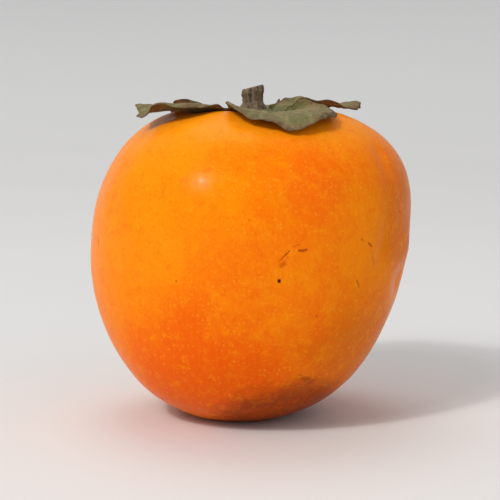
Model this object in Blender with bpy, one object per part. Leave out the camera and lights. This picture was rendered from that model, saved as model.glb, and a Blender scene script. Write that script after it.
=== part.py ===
"""A ripe persimmon as picked, standing on its blossom end with its calyx on top.

Four grown pieces: the fruit, the four-lobed calyx that lies on its crown, the cut stub of the stem in the
middle of the calyx, and the dried style in the dimple underneath. Metres, +Z up. The origin is on the
surface that the fruit stands on, below the centre of its bounding box.
"""

import math

import bmesh
import bpy
from mathutils import Vector

# The fruit. The crown's height is that of the dome before the calyx cavity is pressed into it. The axis
# leans towards +X, and crosses the vertical through the origin at the height given here.
FRUIT_RADIUS = 0.039
CROWN_HEIGHT = 0.0768
WIDEST_HEIGHT = 0.0440
SHOULDER_FULLNESS = 2.70
TIP_FULLNESS = 2.18
LEAN = math.tan(math.radians(2.5))
LEAN_CROSSES_AT = 0.0550
FOUR_SIDED = 0.011

# The spot that the fruit stands on, and the dimple in the middle of it.
REST_SPOT_RADIUS = 0.0115
DIMPLE_RADIUS = 0.0036
DIMPLE_DEPTH = 0.0021

# The cavity that the calyx sits in, and the swellings of the shoulder between the calyx lobes.
CAVITY_RADIUS = 0.0190
CAVITY_DEPTH = 0.0052
SWELL_HEIGHT = 0.0007
SWELL_RADIUS = 0.0200
SWELL_SPREAD = 0.0080

# Broad bulges (+) and flats (-): azimuth in degrees, height, spread and rise.
BULGES = (
    (-10.0, 0.0215, 0.0135, -0.0008),
    (-62.0, 0.0160, 0.0120, 0.0005),
    (180.0, 0.0100, 0.0120, -0.0018),
    (5.0, 0.0640, 0.0150, 0.0020),
    (80.0, 0.0600, 0.0130, 0.0005),
    (190.0, 0.0650, 0.0130, -0.0022),
)
BULGE_FADES_BELOW = 0.0060

# The calyx: lobes grown together around a thick boss.
LOBE_COUNT = 4
FIRST_LOBE = math.radians(-68.0)
LOBE_REACH = (0.0272, 0.0252, 0.0281, 0.0262)
LOBE_LIFT = (0.0012, 0.0031, 0.0020, 0.0037)
LOBE_POINT = 0.0012
SINUS_RADIUS = 0.0108
MARGIN_THICKNESS = 0.0010
BOSS_THICKNESS = 0.0033
BOSS_RADIUS = 0.0070
LIFTS_FROM = 0.45

# The stub of the stem, cut aslant, and the dried style.
STUB_LENGTH = 0.0052
STUB_BASE_RADIUS = 0.0036
STUB_CUT_RADIUS = 0.0026
STUB_CUT_SLOPE = math.tan(math.radians(14.0))
STYLE_RADIUS = 0.0010
STYLE_LENGTH = 0.0012

# Neighbouring pieces keep this far apart.
GAP = 0.0004

FRUIT_SEGMENTS = 64
SKIN_RINGS = 26
CALYX_SEGMENTS = 88
CALYX_RINGS = 8
STUB_SEGMENTS = 20

LOBE_STEP = 2 * math.pi / LOBE_COUNT
# The dome under the widest level runs on below the rest spot, which cuts it off at that spot's radius.
TIP_HALF_HEIGHT = WIDEST_HEIGHT / (
    1 - (REST_SPOT_RADIUS / FRUIT_RADIUS) ** TIP_FULLNESS
) ** (1 / TIP_FULLNESS)


def smooth_step(value):
    value = min(max(value, 0.0), 1.0)
    return value * value * (3 - 2 * value)


def hump(distance, spread):
    return math.exp(-((distance / spread) ** 2))


def outline(angle):
    """Radius and height of the plain outline at an angle from -90 degrees, below, to 90, at the crown."""
    rise = math.sin(angle)
    above = rise > 0
    fullness = SHOULDER_FULLNESS if above else TIP_FULLNESS
    half_height = CROWN_HEIGHT - WIDEST_HEIGHT if above else TIP_HALF_HEIGHT
    radius = FRUIT_RADIUS * max(math.cos(angle), 0.0) ** (2 / fullness)
    height = WIDEST_HEIGHT + math.copysign(half_height * abs(rise) ** (2 / fullness), rise)
    return radius, height


def shaped(azimuth, radius, height):
    """The place of a point of the plain outline once the fruit's own irregular shape is put on it."""
    between_lobes = -math.cos(LOBE_COUNT * (azimuth - FIRST_LOBE))
    if height > WIDEST_HEIGHT:
        if radius < CAVITY_RADIUS:
            height -= CAVITY_DEPTH * (1 - (radius / CAVITY_RADIUS) ** 2) ** 2
        height += SWELL_HEIGHT * between_lobes * hump(radius - SWELL_RADIUS, SWELL_SPREAD)
    radius *= 1 + FOUR_SIDED * between_lobes * smooth_step(height / WIDEST_HEIGHT)
    outward = Vector((math.cos(azimuth), math.sin(azimuth), 0.0))
    place = outward * radius + Vector((LEAN * (height - LEAN_CROSSES_AT), 0.0, height))
    keep = smooth_step(height / BULGE_FADES_BELOW)
    for degrees, level, spread, rise in BULGES:
        turn = azimuth - math.radians(degrees)
        around = FRUIT_RADIUS * math.atan2(math.sin(turn), math.cos(turn))
        share = rise * keep * hump(around, spread) * hump(height - level, spread)
        place += outward * share * (radius / FRUIT_RADIUS)
    return place


def skin_point(azimuth, angle):
    return shaped(azimuth, *outline(angle))


def crown_angle(radius):
    """The outline's angle at a radius above the widest level."""
    return math.acos(min(radius / FRUIT_RADIUS, 1.0) ** (SHOULDER_FULLNESS / 2))


def crown_frame(azimuth, radius):
    """A point on the crown and the outward normal there."""
    step = 0.0002
    middle = max(radius, step)
    here = skin_point(azimuth, crown_angle(middle))
    outward = skin_point(azimuth, crown_angle(middle + step)) - here
    around = skin_point(azimuth + step / middle, crown_angle(middle)) - here
    return skin_point(azimuth, crown_angle(radius)), outward.cross(around).normalized()


def ring(point_at, segments):
    return [point_at(2 * math.pi * i / segments) for i in range(segments)]


def skinned(name, rings, material):
    """A closed mesh over a row of rings, each with the same number of points, whose first and last ring
    are single points."""
    bm = bmesh.new()
    made = [[bm.verts.new(point) for point in row] for row in rings]
    for lower, upper in zip(made, made[1:]):
        count = max(len(lower), len(upper))
        for i in range(count):
            j = (i + 1) % count
            if len(lower) == 1:
                corners = (lower[0], upper[j], upper[i])
            elif len(upper) == 1:
                corners = (lower[i], lower[j], upper[0])
            else:
                corners = (lower[i], lower[j], upper[j], upper[i])
            bm.faces.new(corners)
    bmesh.ops.recalc_face_normals(bm, faces=bm.faces)
    mesh = bpy.data.meshes.new(name)
    bm.to_mesh(mesh)
    bm.free()
    mesh.shade_smooth()
    mesh.materials.append(material)
    made_object = bpy.data.objects.new(name, mesh)
    bpy.context.scene.collection.objects.link(made_object)
    return made_object


def plain_material(name, colour, roughness):
    material = bpy.data.materials.new(name)
    material.use_nodes = True
    shader = material.node_tree.nodes["Principled BSDF"]
    shader.inputs["Base Color"].default_value = (*colour, 1.0)
    shader.inputs["Roughness"].default_value = roughness
    shader.inputs["Metallic"].default_value = 0.0
    return material


def make_fruit():
    """One solid: dimple, rest spot, skin from the spot's edge over the shoulder, and the cavity."""
    rings = [[shaped(0.0, 0.0, DIMPLE_DEPTH)]]
    for share in (0.4, 0.75, 1.0):
        radius = share * DIMPLE_RADIUS
        height = DIMPLE_DEPTH * (1 - share**2) ** 2
        rings.append(ring(lambda a, r=radius, z=height: shaped(a, r, z), FRUIT_SEGMENTS))
    middle_of_spot = (DIMPLE_RADIUS + REST_SPOT_RADIUS) / 2
    rings.append(ring(lambda a: shaped(a, middle_of_spot, 0.0), FRUIT_SEGMENTS))
    rings.append(ring(lambda a: shaped(a, REST_SPOT_RADIUS, 0.0), FRUIT_SEGMENTS))
    edge = -math.acos((REST_SPOT_RADIUS / FRUIT_RADIUS) ** (TIP_FULLNESS / 2))
    for k in range(1, SKIN_RINGS):
        angle = edge + (math.pi / 2 - edge) * k / SKIN_RINGS
        rings.append(ring(lambda a, at=angle: skin_point(a, at), FRUIT_SEGMENTS))
    rings.append([skin_point(0.0, math.pi / 2)])
    return skinned("fruit", rings, plain_material("persimmon_skin", (0.95, 0.32, 0.02), 0.32))


def lobe_at(azimuth):
    """The number of the nearest lobe, and how far the azimuth is from its middle, from -1 to 1."""
    steps = (azimuth - FIRST_LOBE) / LOBE_STEP
    nearest = round(steps)
    return nearest % LOBE_COUNT, 2 * (steps - nearest)


def calyx_edge(azimuth):
    """How far the calyx reaches: broad lobes with a small point, and narrow notches between them."""
    lobe, aside = lobe_at(azimuth)
    breadth = math.sqrt(max(1 - abs(aside) ** 4, 0.0))
    reach = LOBE_REACH[lobe] - SINUS_RADIUS
    return SINUS_RADIUS + reach * breadth + LOBE_POINT * hump(aside, 0.2)


def calyx_lift(azimuth, share):
    """How far the calyx stands off the skin, at a share of the way out to its edge."""
    lobe, aside = lobe_at(azimuth)
    from_notch = smooth_step(1.6 * (1 - abs(aside)))
    return LOBE_LIFT[lobe] * from_notch * smooth_step((share - LIFTS_FROM) / (1 - LIFTS_FROM)) ** 1.5


def calyx_thickness(radius):
    return MARGIN_THICKNESS + (BOSS_THICKNESS - MARGIN_THICKNESS) * hump(radius, BOSS_RADIUS)


def calyx_point(azimuth, share, upper):
    radius = share * calyx_edge(azimuth)
    place, normal = crown_frame(azimuth, radius)
    off_skin = GAP + calyx_lift(azimuth, share)
    return place + normal * (off_skin + (calyx_thickness(radius) if upper else 0.0))


def make_calyx():
    """The four lobes and the boss, one solid, following the crown at a small distance."""
    shares = [k / CALYX_RINGS for k in range(1, CALYX_RINGS + 1)]
    rings = [[calyx_point(0.0, 0.0, False)]]
    for share in shares:
        rings.append(ring(lambda a, s=share: calyx_point(a, s, False), CALYX_SEGMENTS))
    for share in reversed(shares):
        rings.append(ring(lambda a, s=share: calyx_point(a, s, True), CALYX_SEGMENTS))
    rings.append([calyx_point(0.0, 0.0, True)])
    return skinned("calyx", rings, plain_material("calyx_leaf", (0.30, 0.27, 0.12), 0.75))


def make_stem_stub():
    """A woody stub, flared where it meets the calyx and cut off aslant."""
    foot = calyx_point(0.0, 0.0, True) + Vector((0.0, 0.0, GAP))
    profile = (
        (0.0, 1.0),
        (0.16, 0.90),
        (0.40, 0.76),
        (0.88, 0.72),
        (1.0, STUB_CUT_RADIUS / STUB_BASE_RADIUS),
    )

    def place(azimuth, radius, along):
        x = radius * math.cos(azimuth)
        height = STUB_LENGTH * along + STUB_CUT_SLOPE * x * along
        return foot + Vector((x, radius * math.sin(azimuth), height))

    rings = [[foot.copy()]]
    for along, share in profile:
        radius = share * STUB_BASE_RADIUS
        rings.append(ring(lambda a, r=radius, s=along: place(a, r, s), STUB_SEGMENTS))
    rings.append([place(0.0, 0.0, 1.0)])
    return skinned("stem_stub", rings, plain_material("stem_wood", (0.24, 0.15, 0.08), 0.85))


def make_style_remnant():
    """The dried style, a small dark point that hangs in the dimple clear of the surface below."""
    root = shaped(0.0, 0.0, DIMPLE_DEPTH) - Vector((0.0, 0.0, GAP))
    segments = 12

    def place(azimuth, radius, down):
        x = radius * math.cos(azimuth)
        return root + Vector((x, radius * math.sin(azimuth), -STYLE_LENGTH * down))

    rings = [[root.copy()]]
    for down, share in ((0.0, 0.8), (0.35, 1.0), (0.8, 0.45)):
        radius = share * STYLE_RADIUS
        rings.append(ring(lambda a, r=radius, s=down: place(a, r, s), segments))
    rings.append([place(0.0, 0.0, 1.0)])
    return skinned("style_remnant", rings, plain_material("dried_style", (0.03, 0.02, 0.015), 0.9))


def main():
    for old in list(bpy.data.objects):
        bpy.data.objects.remove(old)
    make_fruit()
    make_calyx()
    make_stem_stub()
    make_style_remnant()


main()
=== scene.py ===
"""The looks of the persimmon: skin, calyx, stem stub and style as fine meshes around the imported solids.

Metres, +Z up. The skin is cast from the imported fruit, and the calyx is laid on that skin.
"""

import math

import bpy
import numpy as np
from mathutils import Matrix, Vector, noise
from mathutils.bvhtree import BVHTree


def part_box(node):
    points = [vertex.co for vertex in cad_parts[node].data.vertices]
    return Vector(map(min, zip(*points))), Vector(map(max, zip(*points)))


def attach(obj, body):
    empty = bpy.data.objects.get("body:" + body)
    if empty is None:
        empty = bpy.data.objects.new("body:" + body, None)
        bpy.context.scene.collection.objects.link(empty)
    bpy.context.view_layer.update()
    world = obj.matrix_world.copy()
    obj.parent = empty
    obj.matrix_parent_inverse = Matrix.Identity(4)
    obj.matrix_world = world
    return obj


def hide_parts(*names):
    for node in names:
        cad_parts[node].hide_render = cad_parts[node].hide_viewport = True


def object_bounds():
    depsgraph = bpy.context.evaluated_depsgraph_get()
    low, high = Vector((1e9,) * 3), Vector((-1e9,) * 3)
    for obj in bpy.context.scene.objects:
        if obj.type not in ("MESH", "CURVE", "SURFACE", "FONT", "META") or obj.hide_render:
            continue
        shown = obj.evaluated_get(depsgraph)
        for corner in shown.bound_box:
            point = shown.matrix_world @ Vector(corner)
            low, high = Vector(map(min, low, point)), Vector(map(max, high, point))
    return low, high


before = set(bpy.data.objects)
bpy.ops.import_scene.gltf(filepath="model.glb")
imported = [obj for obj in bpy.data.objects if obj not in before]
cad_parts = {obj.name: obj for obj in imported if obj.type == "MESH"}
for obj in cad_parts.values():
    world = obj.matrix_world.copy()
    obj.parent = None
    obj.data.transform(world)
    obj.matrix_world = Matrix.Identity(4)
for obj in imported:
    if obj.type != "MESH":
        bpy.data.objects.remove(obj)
CAD_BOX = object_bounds()

MM = 0.001
FRUIT_LOW, FRUIT_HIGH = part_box("fruit")
STUB_LOW, STUB_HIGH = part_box("stem_stub")
STYLE_LOW, STYLE_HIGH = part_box("style_remnant")
CALYX_LOW, CALYX_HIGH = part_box("calyx")
CORE = (FRUIT_LOW + FRUIT_HIGH) / 2
FRUIT_RADIUS = (FRUIT_HIGH.y - FRUIT_LOW.y) / 2
FRUIT_HEIGHT = FRUIT_HIGH.z - FRUIT_LOW.z
STEM_AXIS = (STUB_LOW + STUB_HIGH) / 2
STYLE_AXIS = (STYLE_LOW + STYLE_HIGH) / 2
CALYX_RADIUS = (CALYX_HIGH.x - CALYX_LOW.x + CALYX_HIGH.y - CALYX_LOW.y) / 4

# The skin's grid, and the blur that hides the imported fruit's facets: its width, and how many widths it
# reaches.
SKIN_COLUMNS = 384
SKIN_ROWS = 240
SMOOTHING = math.radians(4.2)
SMOOTHING_REACH = 2.5
# Swellings all over the skin: size, rise, and a shift that makes each set different.
SWELLINGS = (
    (19.0 * MM, 0.24 * MM, 3.1),
    (6.0 * MM, 0.050 * MM, 7.7),
    (1.9 * MM, 0.012 * MM, 1.3),
)
# The skin is plain round the spot that the fruit stands on. Its relief is full beyond this radius, and
# fades out over this distance within it.
RELIEF_FROM = 14.0 * MM
RELIEF_FADE = 6.0 * MM
DIMPLE_RADIUS = 3.8 * MM
DIMPLE_DEPTH = 2.1 * MM
PUCKER_COUNT = 13
PUCKER_DEPTH = 0.10 * MM
PUCKER_RADIUS = 4.0 * MM
FOLD_RADIUS = 4.2 * MM

# Dents (-) and lumps (+) in the skin: azimuth in degrees, height, spread, rise.
DENTS = (
    (-19.0, 35.4 * MM, 3.9 * MM, -1.00 * MM),
    (-17.0, 43.0 * MM, 5.0 * MM, 0.60 * MM),
    (-128.0, 24.0 * MM, 9.0 * MM, -0.22 * MM),
    (-75.0, 55.0 * MM, 8.0 * MM, -0.20 * MM),
    (48.0, 30.0 * MM, 7.0 * MM, -0.35 * MM),
    (118.0, 44.0 * MM, 10.0 * MM, -0.30 * MM),
    (165.0, 58.0 * MM, 7.0 * MM, -0.25 * MM),
)
# Shallow furrows: azimuth and height of both ends, width, depth.
FURROWS = (
    (-28.0, 66.0 * MM, -39.0, 42.0 * MM, 2.2 * MM, 0.60 * MM),
    (96.0, 70.0 * MM, 104.0, 50.0 * MM, 2.8 * MM, 0.25 * MM),
    (-150.0, 69.0 * MM, -146.0, 54.0 * MM, 2.4 * MM, 0.18 * MM),
)

# The calyx: for each lobe, the azimuth of the notch before it, its reach as a share of the packed
# calyx's radius, and the lift of its tip.
LOBES = (
    (-113.0, 0.950, 1.4 * MM),
    (-25.0, 0.890, 3.0 * MM),
    (65.0, 0.980, 2.1 * MM),
    (159.0, 0.915, 3.6 * MM),
)
LOBE_COLUMNS = 100
CALYX_RINGS = 54
NOTCH_RADIUS = 10.2 * MM
LOBE_SQUARENESS = 3.6
LOBE_POINT = 1.3 * MM
NIBBLE = 0.45 * MM
MARGIN_THICKNESS = 0.45 * MM
BOSS_THICKNESS = 2.9 * MM
BOSS_RADIUS = 8.0 * MM
# How the calyx stands off the skin. Shares run from 0 at the stem to 1 at the edge.
CALYX_GAP = 0.12 * MM
LIFTS_FROM = 0.42
WAVE_HEIGHT = 0.55 * MM
NOTCH_LIFT = 0.9 * MM
CURLS_FROM = 0.82
CURL_HEIGHT = 1.5 * MM
CRINKLE_HEIGHT = 0.35 * MM
# What stands up from its top, or is pressed into it.
COLLAR_RADIUS = 4.7 * MM
COLLAR_HEIGHT = 0.75 * MM
NOTCH_GROOVE = 0.9 * MM
BOSS_GROOVE = 0.35 * MM
ROUGHNESS_HEIGHT = 0.10 * MM
VEIN_HEIGHT = 0.27 * MM
# Where the veins run across a lobe, from -1 to 1.
VEINS = (-0.78, -0.55, -0.34, -0.16, 0.0, 0.17, 0.36, 0.57, 0.79)

STUB_COLUMNS = 120
STUB_ROWS = 54
CUT_RINGS = 26
STUB_CUT_RADIUS = 2.6 * MM
STUB_CUT_SLOPE = math.tan(math.radians(14.0))
STUB_SINKS = 0.3 * MM

STYLE_COLUMNS = 48
STYLE_ROWS = 30
STYLE_RIBS = 4

# The stage: a flat floor that rises into a wide, shallow bowl.
STAGE_COLUMNS = 96
STAGE_STEPS = 24
FLOOR_RINGS = (0.15, 0.4)
FLOOR_RADIUS = 0.8
STAGE_RADIUS = 4.0
STAGE_HEIGHT = 0.9

# Soft round lights: azimuth and elevation in degrees, distance, size, power, colour. Azimuth 0 is on the
# camera's side, and 90 on its left.
LIGHTS = {
    "key": (40, 42, 2.2, 0.80, 15.0, (1.0, 0.985, 0.96)),
    "glint": (40, 42, 2.2, 0.18, 13.0, (1.0, 0.985, 0.96)),
    "fill": (-48, 30, 2.4, 2.0, 3.8, (1.0, 0.99, 0.97)),
    "top": (160, 70, 2.0, 1.2, 7.5, (1.0, 1.0, 1.0)),
}
WORLD_STRENGTH = 0.46

# The camera, and the share of the picture's width that the fruit fills.
CAMERA_LENS = 100.0
CAMERA_ELEVATION = math.radians(7.0)
FILLED_SHARE = 0.63


def smooth_step(value):
    """0 below 0, 1 above 1, and smooth between them."""
    value = np.clip(value, 0.0, 1.0)
    return value * value * (3 - 2 * value)


def hump(distance, spread):
    """A bell of height 1 at a distance of 0."""
    return np.exp(-((distance / spread) ** 2))


def noise_at(points, size, seed=0.0, octaves=2):
    """Smooth noise of about -1 to 1 at each point, with features of the given size."""
    flat = points.reshape(-1, 3) / size + seed
    values = [noise.fractal(Vector(p), 1.0, 2.0, octaves) for p in flat]
    return np.array(values).reshape(points.shape[:-1])


def ray_tree(points, faces):
    """The surface in a form that rays can be cast at."""
    return BVHTree.FromPolygons([tuple(p) for p in points], faces)


def node_tree_of(node):
    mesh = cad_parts[node].data
    return ray_tree([v.co for v in mesh.vertices], [tuple(p.vertices) for p in mesh.polygons])


def grid_faces(rows, columns, first=0):
    """Quads between neighbouring rows of a grid that is closed round its columns."""
    faces = []
    for row in range(rows - 1):
        for column in range(columns):
            beside = (column + 1) % columns
            lower = first + row * columns
            upper = lower + columns
            faces.append((lower + column, lower + beside, upper + beside, upper + column))
    return faces


def cap_faces(ring_start, columns, tip, upward):
    """Triangles from a ring of the grid to one point."""
    faces = []
    for column in range(columns):
        edge = (ring_start + column, ring_start + (column + 1) % columns)
        faces.append((*edge, tip) if upward else (edge[1], edge[0], tip))
    return faces


def closed_grid(bottom, rows, top):
    """Points and faces of a closed body: a point, rows of a grid from bottom to top, and a point."""
    count, columns = rows.shape[:2]
    points = np.vstack([rows.reshape(-1, 3), bottom, top])
    faces = grid_faces(count, columns)
    faces += cap_faces(0, columns, count * columns, False)
    faces += cap_faces((count - 1) * columns, columns, count * columns + 1, True)
    return points, faces


def add_piece(name, points, faces, node, material, masks=None):
    """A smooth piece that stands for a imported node. masks are numbers for each point, for its material."""
    mesh = bpy.data.meshes.new(name)
    mesh.from_pydata(points.tolist(), [], faces)
    for mask, values in (masks or {}).items():
        layer = mesh.attributes.new(mask, "FLOAT", "POINT")
        layer.data.foreach_set("value", values.astype(np.float32))
    mesh.shade_smooth()
    mesh.materials.append(material)
    piece = bpy.data.objects.new(name, mesh)
    bpy.context.scene.collection.objects.link(piece)
    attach(piece, "root")
    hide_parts(node)
    return piece


# ---------------------------------------------------------------- the skin


def smoothed(distances):
    """The grid of distances, blurred round each row and over the poles."""
    reach = round(SMOOTHING_REACH * SMOOTHING / (math.pi / SKIN_ROWS))
    half = SKIN_COLUMNS // 2
    before = np.roll(distances[reach:0:-1], half, axis=1)
    after = np.roll(distances[-2 : -reach - 2 : -1], half, axis=1)
    padded = np.vstack([before, distances, after])
    steps = np.arange(-reach, reach + 1)
    weights = np.exp(-((steps * math.pi / SKIN_ROWS / SMOOTHING) ** 2) / 2)
    weights /= weights.sum()
    rows = len(distances)
    blurred = sum(w * padded[reach + s : reach + s + rows] for s, w in zip(steps, weights))
    around = np.exp(-((steps * 2 * math.pi / SKIN_COLUMNS / SMOOTHING) ** 2) / 2)
    around /= around.sum()
    return sum(w * np.roll(blurred, s, axis=1) for s, w in zip(steps, around))


def cast_skin(tree):
    """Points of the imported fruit's surface in every direction from its middle, with its facets smoothed
    away and the dimple left out, and those directions."""
    latitude = np.linspace(-math.pi / 2, math.pi / 2, SKIN_ROWS + 1)[:, None]
    azimuth = np.arange(SKIN_COLUMNS) * (2 * math.pi / SKIN_COLUMNS)
    ways = np.stack(
        [
            np.cos(latitude) * np.cos(azimuth),
            np.cos(latitude) * np.sin(azimuth),
            np.sin(latitude) + 0 * azimuth,
        ],
        axis=-1,
    )
    distances = np.empty(ways.shape[:2])
    for row in range(SKIN_ROWS + 1):
        for column in range(SKIN_COLUMNS):
            way = Vector(ways[row, column])
            hit, _, _, distance = tree.ray_cast(CORE, way)
            beside = math.hypot(hit.x - STYLE_AXIS.x, hit.y - STYLE_AXIS.y)
            if hit.z < CORE.z and beside < DIMPLE_RADIUS:
                distance = (CORE.z - FRUIT_LOW.z) / -way.z
            distances[row, column] = distance
    return np.array(CORE) + ways * smoothed(distances)[..., None], ways


def place_on(tree, azimuth, height):
    """The point of a surface at an azimuth in degrees, round the fruit's middle, and a height."""
    turn = math.radians(azimuth)
    way = Vector((math.cos(turn), math.sin(turn), 0.0))
    return tree.ray_cast(Vector((CORE.x, CORE.y, height)), way)[0]


def from_segment(points, start, end):
    """How far each point is from a straight segment."""
    start, along = np.array(start), np.array(end) - np.array(start)
    share = np.clip((points - start) @ along / (along @ along), 0.0, 1.0)
    return np.linalg.norm(points - start - share[..., None] * along, axis=-1)


def dimple_depth(points, across, beside):
    """How deep the dimple and the puckers round it are pressed in."""
    pit = (1 - np.clip(beside / DIMPLE_RADIUS, 0, 1) ** 2) ** 2
    turn = np.arctan2(across[..., 1], across[..., 0])
    folds = np.cos(PUCKER_COUNT * turn + 2.5 * noise_at(points, 9 * MM, 5.0))
    folds *= hump(beside - FOLD_RADIUS, 1.8 * MM)
    puckers = PUCKER_DEPTH * (1 + folds) * hump(beside - PUCKER_RADIUS, 2 * MM)
    return DIMPLE_DEPTH * pit + puckers


def skin_relief(points, tree):
    """How far the skin stands out from the smooth fruit: swellings, dents, furrows and the dimple."""
    rise = sum(amount * noise_at(points, size, shift) for size, amount, shift in SWELLINGS)
    for azimuth, height, spread, amount in DENTS:
        centre = np.array(place_on(tree, azimuth, height))
        rise += amount * hump(np.linalg.norm(points - centre, axis=-1), spread)
    for azimuth, height, far_azimuth, far_height, width, depth in FURROWS:
        start = place_on(tree, azimuth, height)
        end = place_on(tree, far_azimuth, far_height)
        rise -= depth * hump(from_segment(points, start, end), width)

    across = points[..., :2] - np.array(STYLE_AXIS[:2])
    beside = np.linalg.norm(across, axis=-1)
    under = smooth_step((CORE.z - points[..., 2]) / (CORE.z / 2))
    plain = under * smooth_step((RELIEF_FROM - beside) / RELIEF_FADE)
    return rise * (1 - plain) - under * dimple_depth(points, across, beside)


def make_skin():
    """The skin as one closed piece. Returns its surface, for the calyx to lie on."""
    packed = node_tree_of("fruit")
    grid, ways = cast_skin(packed)
    grid = grid + ways * skin_relief(grid, packed)[..., None]
    grid[..., 2] = np.maximum(grid[..., 2], FRUIT_LOW.z)
    points, faces = closed_grid(grid[0, 0], grid[1:-1], grid[-1, 0])
    surface = ray_tree(points, faces)
    add_piece("fruit_skin", points, faces, "fruit", skin_material(surface))
    return surface


# ---------------------------------------------------------------- the calyx


def calyx_columns():
    """For each column: azimuth, place across its lobe from -1 to 1, and its lobe. Columns crowd towards
    the notches, where the edge turns sharply."""
    evenly = np.linspace(-1, 1, LOBE_COLUMNS, endpoint=False)
    aside = np.sign(evenly) * (1 - (1 - np.abs(evenly)) ** 2)
    notches = [math.radians(lobe[0]) for lobe in LOBES]
    ends = notches[1:] + [notches[0] + 2 * math.pi]
    azimuth = [a + (b - a) * (aside + 1) / 2 for a, b in zip(notches, ends)]
    lobe = np.repeat(np.arange(len(LOBES)), LOBE_COLUMNS)
    return np.concatenate(azimuth), np.tile(aside, len(LOBES)), lobe


def calyx_edge(azimuth, aside, lobe):
    """How far the calyx reaches from the stem: broad lobes with a blunt point and a nibbled margin."""
    reach = np.array([share for _, share, _ in LOBES])[lobe] * CALYX_RADIUS
    breadth = np.sqrt(np.clip(1 - np.abs(aside) ** LOBE_SQUARENESS, 0, 1))
    ring = np.stack([np.cos(azimuth), np.sin(azimuth), 0 * azimuth], axis=-1)
    nibbled = NIBBLE * noise_at(ring, 0.11, 2.0, 3)
    edge = NOTCH_RADIUS + (reach - NOTCH_RADIUS) * breadth
    return edge + LOBE_POINT * hump(aside, 0.16) + nibbled * breadth


def inside_lobe(aside):
    """1 in the middle of a lobe, fading to 0 at the notches beside it."""
    return smooth_step(1.5 * (1 - np.abs(aside)))


def vein_lines(aside, share, seed):
    """1 on the veins, fading to 0 beside them. They fan out from the boss and wander a little."""
    wander = 0.05 * np.sin(9 * share + seed) + 0.03 * np.sin(23 * share + 2 * seed)
    spread = 0.35 + 0.65 * smooth_step(share)
    lines = 0 * aside * share
    for number, vein in enumerate(VEINS):
        middle = vein * spread + wander * (1 - abs(vein)) * (1 if number % 2 else -1)
        width = 0.016 + 0.028 * (1 - share)
        lines = np.maximum(lines, hump(aside - middle, width))
    return lines * smooth_step((share - 0.28) / 0.2)


def lay_on_skin(skin, x, y):
    """The skin's points under x and y, and its outward normals there."""
    points, normals = [], []
    for px, py in zip(x.ravel(), y.ravel()):
        hit, normal, _, _ = skin.ray_cast(Vector((px, py, 2 * FRUIT_HEIGHT)), Vector((0, 0, -1)))
        points.append(hit)
        normals.append(normal)
    shape = (*x.shape, 3)
    return np.array(points).reshape(shape), np.array(normals).reshape(shape)


def calyx_rise(aside, share, lobe, ground):
    """How far the underside stands off the skin: lifted tips, waves and notches, and a curled margin."""
    lift = np.array([tip for _, _, tip in LOBES])[lobe]
    inner = inside_lobe(aside)
    rise = lift * inner * smooth_step((share - LIFTS_FROM) / (1 - LIFTS_FROM)) ** 1.4
    rise = rise + WAVE_HEIGHT * np.sin(6.5 * aside + 1.7 * lobe) * share**3
    rise = rise + NOTCH_LIFT * (1 - inner) * smooth_step((share - 0.5) / 0.5)
    crinkle = noise_at(ground, 5.5 * MM, 4.0)
    curl = smooth_step((share - CURLS_FROM) / (1 - CURLS_FROM)) ** 1.5
    rise = rise + CURL_HEIGHT * curl * (0.55 + 0.9 * crinkle)
    rise = rise + CRINKLE_HEIGHT * crinkle * smooth_step((share - 0.3) / 0.4)
    return CALYX_GAP + np.maximum(rise, 0.0)


def calyx_relief(aside, share, radius, veins, ground):
    """What stands up from the top, or is pressed into it: veins, the collar round the stem, the grooves
    at the notches and round the boss, and a rough surface."""
    relief = VEIN_HEIGHT * veins * (1.1 - share)
    collar = hump(radius - COLLAR_RADIUS, 1.0 * MM)
    relief = relief + COLLAR_HEIGHT * collar * (1 + 0.25 * noise_at(ground, 1.6 * MM, 9.0))
    at_notch = hump(1 - np.abs(aside), 0.10) * hump(radius - 9.0 * MM, 3.2 * MM)
    relief = relief - NOTCH_GROOVE * at_notch
    relief = relief - BOSS_GROOVE * hump(radius - 10.5 * MM, 1.3 * MM) * inside_lobe(aside)
    return relief + ROUGHNESS_HEIGHT * noise_at(ground, 1.1 * MM, 6.0, 3) * (1.2 - share)


def make_calyx(skin):
    """Lobes and boss as one closed sheet: the underside from the middle out, then the top back in.
    Returns the height of its top in the middle."""
    azimuth, aside, lobe = calyx_columns()
    edge = calyx_edge(azimuth, aside, lobe)
    share = (np.arange(1, CALYX_RINGS + 1) / CALYX_RINGS)[:, None]
    radius = share * edge
    x = STEM_AXIS.x + radius * np.cos(azimuth)
    y = STEM_AXIS.y + radius * np.sin(azimuth)
    ground, normal = lay_on_skin(skin, x, y)
    normal = normal / np.linalg.norm(normal, axis=-1, keepdims=True)

    rise = calyx_rise(aside, share, lobe, ground)
    thickness = MARGIN_THICKNESS + (BOSS_THICKNESS - MARGIN_THICKNESS) * hump(radius, BOSS_RADIUS)
    thickness = thickness * (1 - 0.6 * smooth_step((share - 0.93) / 0.07))
    veins = vein_lines(aside, share, 1.3 * lobe)
    relief = calyx_relief(aside, share, radius, veins, ground)
    under = ground + normal * rise[..., None]
    over = under + normal * (thickness + relief)[..., None]
    rows = np.concatenate([under, over[::-1]])
    bottom, top = under[0].mean(0), over[0].mean(0)
    points, faces = closed_grid(bottom, rows, top)

    def both_sides(values):
        wide = np.broadcast_to(values, radius.shape)
        rows_of = np.concatenate([wide, wide[::-1]]).ravel()
        return np.append(rows_of, [wide[0].mean()] * 2)

    masks = {
        "outward": both_sides(share),
        "vein": both_sides(veins),
        "boss": both_sides(hump(radius, 9.5 * MM)),
    }
    add_piece("calyx_lobes", points, faces, "calyx", calyx_material(), masks)
    return top[2]


# ---------------------------------------------------------------- the stem stub and the style


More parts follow.
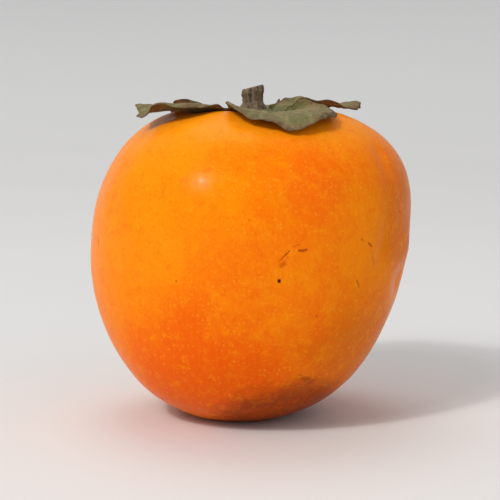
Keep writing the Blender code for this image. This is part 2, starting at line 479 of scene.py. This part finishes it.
def stub_profile(along):
    """The stub's radius as a share of its foot's: flared at the foot, and swollen under the cut."""
    profile = 0.70 + 0.30 * (1 - smooth_step(along / 0.45)) + 0.05 * hump(along - 0.8, 0.12)
    return profile - 0.06 * smooth_step((along - 0.93) / 0.07)


def make_stub(boss_top):
    """A woody stub with bark down its side and a rough slanted cut."""
    foot = min(STUB_LOW.z, boss_top) - STUB_SINKS
    length = STUB_HIGH.z - STUB_CUT_SLOPE * STUB_CUT_RADIUS - foot
    base = (STUB_HIGH.y - STUB_LOW.y) / 2
    azimuth = np.arange(STUB_COLUMNS) * (2 * math.pi / STUB_COLUMNS)
    along = np.linspace(0, 1, STUB_ROWS)[:, None]
    profile = stub_profile(along)

    def place(radius, share):
        x = radius * np.cos(azimuth)
        y = radius * np.sin(azimuth)
        z = foot + share * (length + STUB_CUT_SLOPE * x)
        return np.stack([STEM_AXIS.x + x, STEM_AXIS.y + y, z], axis=-1)

    rough = place(base * profile, along)
    streaks = rough * np.array([1.0, 1.0, 0.22])
    bark = 0.22 * MM * noise_at(streaks, 0.9 * MM, 2.0, 3)
    bark += 0.10 * MM * noise_at(rough, 0.6 * MM, 8.0, 2)
    radius = base * profile + bark
    side = place(radius, along)
    inward = (1 - np.arange(1, CUT_RINGS + 1) / (CUT_RINGS + 1))[:, None]
    cut_radius = inward * radius[-1]
    cut = place(cut_radius, 1.0)
    grain = 0.10 * MM * noise_at(cut * np.array([1.0, 0.35, 1.0]), 0.5 * MM, 5.0, 3)
    pith = 0.35 * MM * hump(cut_radius, 0.55 * MM)
    bark_step = 0.16 * MM * smooth_step((0.86 - inward) / 0.06)
    cut[..., 2] += grain - pith - bark_step
    rows = np.concatenate([side, cut])
    bottom = side[0].mean(0)
    top = cut[-1].mean(0) - np.array([0, 0, 0.05 * MM])
    points, faces = closed_grid(bottom, rows, top)

    on_cut = np.concatenate([np.zeros(side.shape[:2]), np.ones(cut.shape[:2])]).ravel()
    out = np.concatenate([np.ones(side.shape[:2]), np.broadcast_to(inward, cut.shape[:2])]).ravel()
    masks = {"cut": np.append(on_cut, [0.0, 1.0]), "outward": np.append(out, [1.0, 0.0])}
    add_piece("stem_stub_bark", points, faces, "stem_stub", stem_material(), masks)


def make_style():
    """The dried style: a small ribbed point that hangs in the dimple."""
    height = STYLE_HIGH.z - STYLE_LOW.z
    radius = (STYLE_HIGH.y - STYLE_LOW.y) / 2
    azimuth = np.arange(STYLE_COLUMNS) * (2 * math.pi / STYLE_COLUMNS)
    down = np.linspace(0, 1, STYLE_ROWS)[:, None]
    ribs = 1 + 0.16 * np.cos(STYLE_RIBS * azimuth + 0.6) * smooth_step(down * 1.5)
    ribs = ribs + 0.05 * np.cos(11 * azimuth)
    profile = (0.85 + 0.2 * hump(down - 0.25, 0.2)) * (1 - 0.85 * down**3)
    spread = radius * 0.92 * profile * ribs
    x = STYLE_AXIS.x + spread * np.cos(azimuth)
    y = STYLE_AXIS.y + spread * np.sin(azimuth)
    z = STYLE_HIGH.z - height * down + 0 * azimuth
    rows_down = np.stack([x, y, z], axis=-1)
    rows_down = rows_down + (0.05 * MM * noise_at(rows_down, 0.4 * MM, 3.0))[..., None]
    rows_up = rows_down[::-1]
    points, faces = closed_grid(rows_up[0].mean(0), rows_up, rows_up[-1].mean(0))
    add_piece("style_point", points, faces, "style_remnant", style_material())


# ---------------------------------------------------------------- materials


class Shading:
    """One material and short calls for its nodes. Sizes are in metres, in the object's own coordinates."""

    def __init__(self, name):
        self.material = bpy.data.materials.new(name)
        self.material.use_nodes = True
        self.tree = self.material.node_tree
        self.shader = self.tree.nodes["Principled BSDF"]
        self.place = self.tree.nodes.new("ShaderNodeTexCoord").outputs["Object"]

    def node(self, kind, *inputs, **settings):
        """A new node. Each input is a socket's name or number, and what it is given."""
        made = self.tree.nodes.new(kind)
        for name, value in settings.items():
            setattr(made, name, value)
        for index, value in inputs:
            self.give(made.inputs[index], value)
        return made

    def give(self, socket, value):
        """Link another node's output to a socket, or set it to a plain value. None leaves it as it is."""
        if isinstance(value, bpy.types.NodeSocket):
            self.tree.links.new(value, socket)
        elif value is not None:
            socket.default_value = value

    def math(self, operation, first, second=None):
        return self.node("ShaderNodeMath", (0, first), (1, second), operation=operation).outputs[0]

    def times(self, first, second):
        return self.math("MULTIPLY", first, second)

    def vector(self, operation, first, second=None):
        made = self.node("ShaderNodeVectorMath", (0, first), (1, second), operation=operation)
        is_number = operation in ("DOT_PRODUCT", "DISTANCE", "LENGTH")
        return made.outputs["Value" if is_number else "Vector"]

    def scaled(self, vector, amount):
        made = self.node("ShaderNodeVectorMath", (0, vector), ("Scale", amount), operation="SCALE")
        return made.outputs["Vector"]

    def facing(self, way, direction):
        """The cosine of the angle between a way and a fixed direction."""
        return self.vector("DOT_PRODUCT", way, tuple(Vector(direction).normalized()))

    def noise(self, size, detail=2.0, roughness=0.5, place=None, distortion=0.0):
        """Noise of 0 to 1, mostly near 0.5, with features of the given size."""
        made = self.node("ShaderNodeTexNoise", ("Vector", place or self.place), ("Scale", 1 / size))
        made.inputs["Detail"].default_value = detail
        made.inputs["Roughness"].default_value = roughness
        made.inputs["Distortion"].default_value = distortion
        return made.outputs["Fac"]

    def cells(self, size, feature="F1", place=None):
        """A Voronoi node. Its distance is in units of the size."""
        inputs = (("Vector", place or self.place), ("Scale", 1 / size))
        return self.node("ShaderNodeTexVoronoi", *inputs, feature=feature)

    def channel(self, colour, index):
        return self.node("ShaderNodeSeparateColor", (0, colour)).outputs[index]

    def upright(self, squeeze):
        """The place with its height squeezed, which draws noise out into upright streaks."""
        return self.vector("MULTIPLY", self.place, (1.0, 1.0, squeeze))

    def jittered(self, size, amount):
        """The place, shaken by noise, for lines that aren't straight."""
        shaken = self.node("ShaderNodeTexNoise", ("Vector", self.place), ("Scale", 1 / size))
        shake = self.vector("SUBTRACT", shaken.outputs["Color"], (0.5, 0.5, 0.5))
        return self.vector("ADD", self.place, self.scaled(shake, amount))

    def fade(self, value, start, end, low=0.0, high=1.0):
        """A smooth step from low at start to high at end."""
        inputs = (("Value", value), ("From Min", start), ("From Max", end), ("To Min", low), ("To Max", high))
        return self.node("ShaderNodeMapRange", *inputs, interpolation_type="SMOOTHSTEP").outputs[0]

    def mix(self, share, first, second):
        """From the first colour at a share of 0 to the second at 1. Colours are sockets or (r, g, b)."""
        pair = [c if isinstance(c, bpy.types.NodeSocket) else (*c, 1.0) for c in (first, second)]
        inputs = ((0, share), (6, pair[0]), (7, pair[1]))
        return self.node("ShaderNodeMix", *inputs, data_type="RGBA").outputs[2]

    def mask(self, name):
        """The numbers that the mesh holds for each point under this name."""
        return self.node("ShaderNodeAttribute", attribute_name=name).outputs["Fac"]

    def bump(self, height, depth, strength=1.0, under=None):
        """A normal from a height in units of the depth, on top of the normal from the bump under it."""
        inputs = (("Height", height), ("Distance", depth), ("Strength", strength), ("Normal", under))
        return self.node("ShaderNodeBump", *inputs).outputs["Normal"]

    def near_segment(self, place, start, end, inner, outer):
        """1 within inner of a segment, 0 beyond outer."""
        along = Vector(end) - Vector(start)
        offset = self.vector("SUBTRACT", place, tuple(start))
        share = self.vector("DOT_PRODUCT", offset, tuple(along / along.length_squared))
        share = self.node("ShaderNodeClamp", (0, share)).outputs[0]
        nearest = self.scaled(tuple(along), share)
        return self.fade(self.vector("DISTANCE", offset, nearest), outer, inner)

    def finish(self, colour, roughness, normal, **uniform):
        """The material, once its shader has these links and these plain values."""
        self.give(self.shader.inputs["Base Color"], colour)
        self.give(self.shader.inputs["Roughness"], roughness)
        self.give(self.shader.inputs["Normal"], normal)
        for name, value in uniform.items():
            self.shader.inputs[name.replace("_", " ")].default_value = value
        return self.material


# The skin's colours, in linear red, green and blue.
AMBER = (0.97, 0.275, 0.001)
ORANGE = (0.95, 0.198, 0.001)
RED_ORANGE = (0.90, 0.114, 0.001)
OCHRE = (0.80, 0.200, 0.002)
# Painted shade, on the right side and lower right.
SHADE_BROWN_ORANGE = (0.60, 0.125, 0.002)
# Brown for bruises and round the dimple, and for the painted shade on the underside.
BROWN_AND_SHADE = (0.27, 0.034, 0.001)
SHOULDER_GOLD = (0.93, 0.32, 0.008)
SPECKLE = (1.0, 0.36, 0.020)
SCAR = (0.25, 0.009, 0.001)
DARK_SCAR = (0.135, 0.004, 0.001)
RED_SMEAR = (0.52, 0.042, 0.001)

# Painted shade on the underside: a brown patch low in front, and a band round the foot, which is strongest
# on the right: directions from the fruit's middle.
SHADE_PATCH_DIRECTION = (0.18, -0.42, -0.89)
FOOT_SHADE_DIRECTION = (0.62, -0.40, -0.67)

# Tints of the skin: direction from the fruit's middle, cosine where the tint starts and where it is full,
# how much of it is mixed in, colour. Some are painted light and shade: paler amber on the upper left, where
# the light falls, and ochre and brown-orange on the shaded right and lower right.
TINTS = (
    # Painted light: the upper left, where the light falls, made paler amber.
    ((-0.72, -0.52, 0.46), 0.35, 1.0, 0.70, AMBER),
    ((-0.28, -0.76, -0.58), 0.78, 0.98, 0.90, RED_ORANGE),
    # Painted shade: the right side, made darker ochre.
    ((0.94, -0.28, 0.00), 0.55, 1.0, 0.75, OCHRE),
    ((0.73, -0.66, 0.22), 0.93, 1.0, 0.55, AMBER),
    # Painted shade: the right side and the lower right, made brown-orange.
    ((0.93, -0.33, 0.28), 0.92, 0.99, 0.55, SHADE_BROWN_ORANGE),
    ((0.66, -0.45, -0.60), 0.80, 0.99, 0.60, SHADE_BROWN_ORANGE),
    ((0.20, 0.95, 0.20), 0.40, 1.0, 0.60, AMBER),
    ((0.55, 0.60, -0.58), 0.60, 1.0, 0.55, RED_ORANGE),
)

# Marks on the skin: azimuth in degrees and height in mm of both ends, half width, edge, how strong, colour.
MARKS = (
    (-80.3, 38.5, -80.2, 38.6, 0.26, 0.58, 1.0, DARK_SCAR),
    (-79.8, 42.0, -78.6, 42.3, 0.10, 1.05, 0.60, RED_SMEAR),
    (-80.5, 42.9, -77.0, 45.1, 0.02, 0.28, 0.80, SCAR),
    (-79.0, 42.9, -77.4, 43.9, 0.01, 0.24, 0.40, SCAR),
    (-73.6, 45.1, -71.0, 45.2, 0.04, 0.42, 0.75, SCAR),
    (-75.6, 46.0, -73.4, 46.6, 0.01, 0.22, 0.40, SCAR),
    (-46.0, 45.7, -44.4, 45.0, 0.06, 0.38, 0.75, SCAR),
    (-49.2, 46.8, -48.6, 46.6, 0.02, 0.55, 0.50, RED_SMEAR),
    (-50.6, 37.5, -49.5, 36.0, 0.02, 0.40, 0.45, SCAR),
    (-44.0, 43.2, -42.6, 40.6, 0.01, 0.30, 0.35, SCAR),
    (-20.6, 8.4, -19.4, 7.4, 0.22, 0.75, 1.0, DARK_SCAR),
    (-66.5, 14.4, -63.5, 14.2, 0.10, 0.85, 0.55, BROWN_AND_SHADE),
    (-62.0, 13.0, -60.6, 13.6, 0.05, 0.60, 0.50, BROWN_AND_SHADE),
    (-69.0, 15.6, -68.0, 15.4, 0.05, 0.50, 0.40, BROWN_AND_SHADE),
    (20.0, 52.0, 28.0, 47.5, 0.02, 0.30, 0.60, SCAR),
    (74.0, 33.0, 75.2, 33.2, 0.20, 0.60, 0.90, DARK_SCAR),
    (112.0, 60.0, 121.0, 57.5, 0.02, 0.28, 0.60, SCAR),
    (150.0, 22.0, 153.0, 24.5, 0.10, 0.90, 0.50, BROWN_AND_SHADE),
    (-160.0, 46.0, -157.0, 43.5, 0.03, 0.32, 0.65, SCAR),
)


def broad_colours(s, way, height):
    """Orange with amber patches, the tints of the fruit's different sides, and its golden crown. Some of the
    tints are painted light and shade: paler amber on the upper left, darker on the right.
    """
    patches = s.noise(17 * MM, 3.0, 0.55, distortion=0.6)
    colour = s.mix(s.fade(patches, 0.30, 0.60, 0.45, 1.0), RED_ORANGE, ORANGE)
    clouds = s.noise(9 * MM, 4.0, 0.6, distortion=0.9)
    colour = s.mix(s.fade(clouds, 0.47, 0.68, 0.0, 0.60), colour, AMBER)
    drift = s.times(s.math("SUBTRACT", s.noise(13 * MM, 3.0, 0.6), 0.5), 0.9)
    for direction, start, full, share, tint in TINTS:
        wander = s.times(drift, 1.3 * (full - start))
        towards = s.math("ADD", s.facing(way, direction), wander)
        colour = s.mix(s.fade(towards, start, full, 0.0, share), colour, tint)
    wavering = s.math("ADD", height, s.times(drift, 8 * MM))
    crown = s.fade(wavering, FRUIT_HIGH.z - 13 * MM, FRUIT_HIGH.z - 2 * MM, 0.0, 0.65)
    return s.mix(crown, colour, SHOULDER_GOLD)


def painted_underside_shade(s, way, height, ragged):
    """1 where shade is painted on the underside: the brown patch low in front, and the band round the foot.
    """
    patch = s.math("ADD", s.facing(way, SHADE_PATCH_DIRECTION), s.times(ragged, 0.09))
    low = s.math("ADD", height, s.times(ragged, 6 * MM))
    rightward = s.fade(s.facing(way, FOOT_SHADE_DIRECTION), 0.55, 0.90, 0.20, 0.95)
    # Painted shade: darker towards the bottom, strongest on the right.
    foot = s.times(s.fade(low, 9.5 * MM, 3.0 * MM), rightward)
    return s.math("MAXIMUM", s.fade(patch, 0.880, 0.972), foot)


def mottled(s, colour, unshaded):
    """Fine mottling and grain. What is pale in them is fainter under the painted shade on the underside."""
    mottle = s.noise(2.6 * MM, 4.0, 0.7, distortion=0.5)
    colour = s.mix(s.times(s.fade(mottle, 0.50, 0.70, 0.0, 0.55), unshaded), colour, AMBER)
    colour = s.mix(s.fade(mottle, 0.48, 0.28, 0.0, 0.48), colour, RED_ORANGE)
    grain = s.noise(0.75 * MM, 3.0, 0.65)
    colour = s.mix(s.times(s.fade(grain, 0.54, 0.72, 0.0, 0.38), unshaded), colour, SPECKLE)
    colour = s.mix(s.fade(grain, 0.46, 0.28, 0.0, 0.34), colour, RED_ORANGE)
    streaks = s.noise(1.5 * MM, 3.0, 0.6, s.upright(0.16))
    return s.mix(s.fade(streaks, 0.55, 0.75, 0.0, 0.22), colour, OCHRE)


def speckled(s, colour, unshaded, spots):
    """Pale specks in the middles of the spots' cells, brighter and larger in some than in others, and
    finer and fainter ones between them."""
    bright = s.fade(s.channel(spots.outputs["Color"], 0), 0.35, 0.95, 0.04, 0.50)
    size = s.fade(bright, 0.0, 0.5, 0.18, 0.40)
    speck = s.times(s.fade(spots.outputs["Distance"], size, 0.06), bright)
    colour = s.mix(s.times(speck, unshaded), colour, SPECKLE)
    fine = s.cells(0.60 * MM)
    faint = s.fade(s.channel(fine.outputs["Color"], 1), 0.45, 0.95, 0.0, 0.42)
    faint = s.times(s.fade(fine.outputs["Distance"], 0.34, 0.08), faint)
    return s.mix(s.times(faint, unshaded), colour, SPECKLE)


def dark_flecks(s):
    """1 on a few tiny flecks: only some of the cells hold one."""
    sparse = s.cells(5.2 * MM)
    chosen = s.fade(s.channel(sparse.outputs["Color"], 0), 0.62, 0.66)
    return s.times(s.fade(sparse.outputs["Distance"], 0.050, 0.022), chosen)


def marked(s, skin, colour):
    """The colour with the marks on it, and a mask of where they are."""
    place = s.jittered(0.8 * MM, 0.55 * MM)
    broken = s.fade(s.noise(0.9 * MM, 2.0, 0.5), 0.34, 0.52, 0.40, 1.0)
    marks = 0.0
    for azimuth, low, far_azimuth, far_low, inner, outer, strength, tint in MARKS:
        start = place_on(skin, azimuth, low * MM)
        end = place_on(skin, far_azimuth, far_low * MM)
        near = s.near_segment(place, start, end, inner * MM, outer * MM)
        if strength < 1:
            near = s.times(near, s.times(broken, strength))
        colour = s.mix(near, colour, tint)
        marks = s.math("MAXIMUM", marks, near)
    return colour, marks


def skin_material(skin):
    s = Shading("persimmon_skin_looks")
    way = s.vector("NORMALIZE", s.vector("SUBTRACT", s.place, tuple(CORE)))
    height = s.node("ShaderNodeSeparateXYZ", (0, s.place)).outputs["Z"]
    ragged = s.math("SUBTRACT", s.noise(4 * MM, 4.0, 0.65), 0.5)

    colour = broad_colours(s, way, height)
    underside_shade = painted_underside_shade(s, way, height, ragged)
    # Painted shade on the underside: brown low in front and round the foot. The pale mottling and specks are
    # fainter under it.
    colour = s.mix(s.times(underside_shade, 0.92), colour, BROWN_AND_SHADE)
    unshaded = s.math("SUBTRACT", 1.0, s.times(underside_shade, 0.75))
    from_style = s.vector("DISTANCE", s.place, tuple(STYLE_AXIS))
    puckered = s.math("ADD", from_style, s.times(ragged, 5 * MM))
    colour = s.mix(s.fade(puckered, 7.0 * MM, 2.2 * MM, 0.0, 0.70), colour, BROWN_AND_SHADE)
    colour = mottled(s, colour, unshaded)
    spots = s.cells(1.15 * MM)
    colour = speckled(s, colour, unshaded, spots)
    flecks = dark_flecks(s)
    colour = s.mix(s.times(flecks, 0.7), colour, SCAR)
    colour, marks = marked(s, skin, colour)

    waxy = s.fade(s.noise(8 * MM, 3.0, 0.6), 0.30, 0.75, 0.27, 0.37)
    roughness = s.math("ADD", waxy, s.times(marks, 0.35))
    normal = s.bump(s.noise(0.30 * MM, 2.0, 0.5), 0.012 * MM, 0.55)
    normal = s.bump(s.noise(1.4 * MM, 2.0, 0.5), 0.030 * MM, 0.60, normal)
    normal = s.bump(s.fade(spots.outputs["Distance"], 0.30, 0.05), 0.010 * MM, 0.50, normal)
    sunk = s.times(s.math("MAXIMUM", marks, flecks), -1.0)
    normal = s.bump(sunk, 0.10 * MM, 0.8, normal)
    return s.finish(
        colour,
        roughness,
        normal,
        IOR=1.45,
        Specular_IOR_Level=0.04,
        Specular_Tint=(1.0, 0.80, 0.55, 1.0),
        Coat_Weight=0.07,
        Coat_Roughness=0.16,
        Subsurface_Weight=0.10,
        Subsurface_Radius=(1.0, 0.32, 0.08),
        Subsurface_Scale=2.5 * MM,
    )


def calyx_material():
    """Green in the middle of the calyx, drying through tan and rust to brown at its margins."""
    s = Shading("calyx_leaf_looks")
    outward, vein, boss = s.mask("outward"), s.mask("vein"), s.mask("boss")
    green, olive = (0.080, 0.098, 0.024), (0.135, 0.125, 0.036)
    tan, pale = (0.270, 0.180, 0.072), (0.300, 0.250, 0.105)
    rust, brown = (0.170, 0.080, 0.030), (0.055, 0.030, 0.014)
    patches = s.noise(6 * MM, 4.0, 0.6, distortion=0.7)
    colour = s.mix(s.fade(patches, 0.38, 0.66), olive, tan)
    drying = s.math("ADD", outward, s.times(s.math("SUBTRACT", patches, 0.5), 0.9))
    colour = s.mix(s.fade(drying, 0.78, 0.30, 0.0, 0.85), colour, green)
    colour = s.mix(s.fade(drying, 0.80, 1.06, 0.0, 0.80), colour, rust)
    colour = s.mix(s.fade(drying, 0.92, 1.14, 0.0, 0.85), colour, brown)
    bent = s.jittered(1.6 * MM, 1.1 * MM)
    net = s.cells(1.35 * MM, "DISTANCE_TO_EDGE", bent).outputs["Distance"]
    veinlets = s.fade(net, 0.12, 0.01)
    colour = s.mix(s.times(veinlets, 0.22), colour, pale)
    colour = s.mix(s.times(vein, 0.60), colour, pale)
    grime = s.noise(0.9 * MM, 4.0, 0.7)
    colour = s.mix(s.fade(grime, 0.52, 0.75, 0.0, 0.60), colour, brown)
    scurf = s.fade(s.noise(0.45 * MM, 3.0, 0.6), 0.56, 0.72)
    colour = s.mix(s.times(s.times(scurf, boss), 0.6), colour, tan)
    roughness = s.fade(grime, 0.3, 0.7, 0.48, 0.80)
    normal = s.bump(veinlets, 0.09 * MM, 0.9)
    normal = s.bump(s.noise(0.5 * MM, 4.0, 0.65), 0.12 * MM, 0.7, normal)
    normal = s.bump(s.noise(0.16 * MM, 2.0, 0.5), 0.02 * MM, 0.6, normal)
    return s.finish(colour, roughness, normal, IOR=1.4)


def stem_material():
    """Streaked grey-brown bark, and a paler ringed cut with dark pith and bark round it."""
    s = Shading("stem_wood_looks")
    cut, outward = s.mask("cut"), s.mask("outward")
    streaked = s.noise(0.7 * MM, 5.0, 0.7, s.upright(0.18), 0.5)
    bark = s.mix(s.fade(streaked, 0.34, 0.66), (0.060, 0.038, 0.022), (0.235, 0.165, 0.095))
    bark = s.mix(s.fade(s.noise(0.35 * MM, 3.0, 0.6), 0.60, 0.74, 0.0, 0.7), bark, (0.36, 0.29, 0.20))
    rings = s.math("SINE", s.times(outward, 34.0))
    wood = s.mix(s.fade(rings, -1.0, 1.0, 0.0, 0.35), (0.42, 0.29, 0.155), (0.25, 0.155, 0.075))
    wood = s.mix(s.fade(s.noise(0.4 * MM, 4.0, 0.7), 0.5, 0.75, 0.0, 0.6), wood, (0.14, 0.085, 0.045))
    wood = s.mix(s.fade(outward, 0.30, 0.12, 0.0, 0.8), wood, (0.10, 0.055, 0.028))
    wood = s.mix(s.fade(outward, 0.80, 0.90, 0.0, 0.9), wood, (0.070, 0.042, 0.024))
    colour = s.mix(cut, bark, wood)
    normal = s.bump(streaked, 0.16 * MM, 0.7)
    normal = s.bump(s.noise(0.22 * MM, 3.0, 0.6), 0.05 * MM, 0.7, normal)
    return s.finish(colour, s.fade(streaked, 0.3, 0.7, 0.70, 0.92), normal, IOR=1.4)


def style_material():
    s = Shading("dried_style_looks")
    grain = s.noise(0.25 * MM, 4.0, 0.65)
    colour = s.mix(s.fade(grain, 0.35, 0.7), (0.012, 0.008, 0.006), (0.075, 0.042, 0.024))
    normal = s.bump(grain, 0.06 * MM, 0.8)
    return s.finish(colour, s.fade(grain, 0.3, 0.7, 0.75, 0.95), normal)


def stage_material():
    """A matt pale floor with a faint drift of tone, a little lighter towards the backdrop."""
    s = Shading("pale_stage")
    tone = s.noise(0.25, 2.0, 0.5)
    colour = s.mix(s.fade(tone, 0.3, 0.7), (0.74, 0.736, 0.728), (0.76, 0.756, 0.748))
    distance = s.vector("LENGTH", s.place)
    colour = s.mix(s.fade(distance, 0.4, 2.2), colour, (0.93, 0.93, 0.93))
    normal = s.bump(s.noise(0.9 * MM, 2.0, 0.5), 0.02 * MM, 0.25)
    return s.finish(colour, 0.72, normal)


# ---------------------------------------------------------------- stage, lights and camera


def make_stage():
    """A pale floor that rises gently all round, so that it fills every view without an edge."""
    turns = [2 * math.pi * i / STAGE_COLUMNS for i in range(STAGE_COLUMNS)]
    profile = [(radius, 0.0) for radius in FLOOR_RINGS]
    for step in range(STAGE_STEPS + 1):
        share = step / STAGE_STEPS
        radius = FLOOR_RADIUS + (STAGE_RADIUS - FLOOR_RADIUS) * share
        profile.append((radius, STAGE_HEIGHT * share**2))
    rows = [[(r * math.cos(t), r * math.sin(t), z) for t in turns] for r, z in profile]
    points = [point for row in rows for point in row] + [(0.0, 0.0, 0.0)]
    faces = grid_faces(len(profile), STAGE_COLUMNS)
    faces += cap_faces(0, STAGE_COLUMNS, len(points) - 1, False)
    mesh = bpy.data.meshes.new("stage")
    mesh.from_pydata(points, [], [face[::-1] for face in faces])
    mesh.shade_smooth()
    mesh.materials.append(stage_material())
    stage = bpy.data.objects.new("stage", mesh)
    bpy.context.scene.collection.objects.link(stage)


def aim(thing, target):
    """Turn a camera or a light towards a point."""
    way = Vector(target) - thing.location
    thing.rotation_euler = way.to_track_quat("-Z", "Y").to_euler()


def add_light(name, azimuth, elevation, distance, size, power, colour):
    turn, tilt = math.radians(azimuth), math.radians(elevation)
    data = bpy.data.lights.new(name, "AREA")
    data.shape = "DISK"
    data.size = size
    data.energy = power
    data.color = colour
    light = bpy.data.objects.new(name, data)
    way = Vector((-math.sin(turn) * math.cos(tilt), -math.cos(turn) * math.cos(tilt), math.sin(tilt)))
    light.location = CORE + distance * way
    aim(light, CORE)
    bpy.context.scene.collection.objects.link(light)


def light_the_set():
    for name, settings in LIGHTS.items():
        add_light(name, *settings)
    world = bpy.data.worlds.new("studio")
    world.use_nodes = True
    background = world.node_tree.nodes["Background"]
    background.inputs["Color"].default_value = (1.0, 1.0, 1.0, 1.0)
    background.inputs["Strength"].default_value = WORLD_STRENGTH
    bpy.context.scene.world = world


def add_camera():
    """The main view: the fruit from the side, a little above level, filling its share of the width."""
    data = bpy.data.cameras.new("camera")
    data.lens = CAMERA_LENS
    camera = bpy.data.objects.new("camera", data)
    middle = Vector((CORE.x, CORE.y, (CAD_BOX[0][2] + CAD_BOX[1][2]) / 2))
    distance = 2 * FRUIT_RADIUS / FILLED_SHARE * CAMERA_LENS / data.sensor_width
    way = Vector((0.0, -math.cos(CAMERA_ELEVATION), math.sin(CAMERA_ELEVATION)))
    camera.location = middle + distance * way
    aim(camera, middle)
    bpy.context.scene.collection.objects.link(camera)
    bpy.context.scene.camera = camera


add_camera()
light_the_set()
make_stage()
bpy.context.scene.view_settings.view_transform = "Standard"

skin_surface = make_skin()
boss_height = make_calyx(skin_surface)
make_stub(boss_height)
make_style()
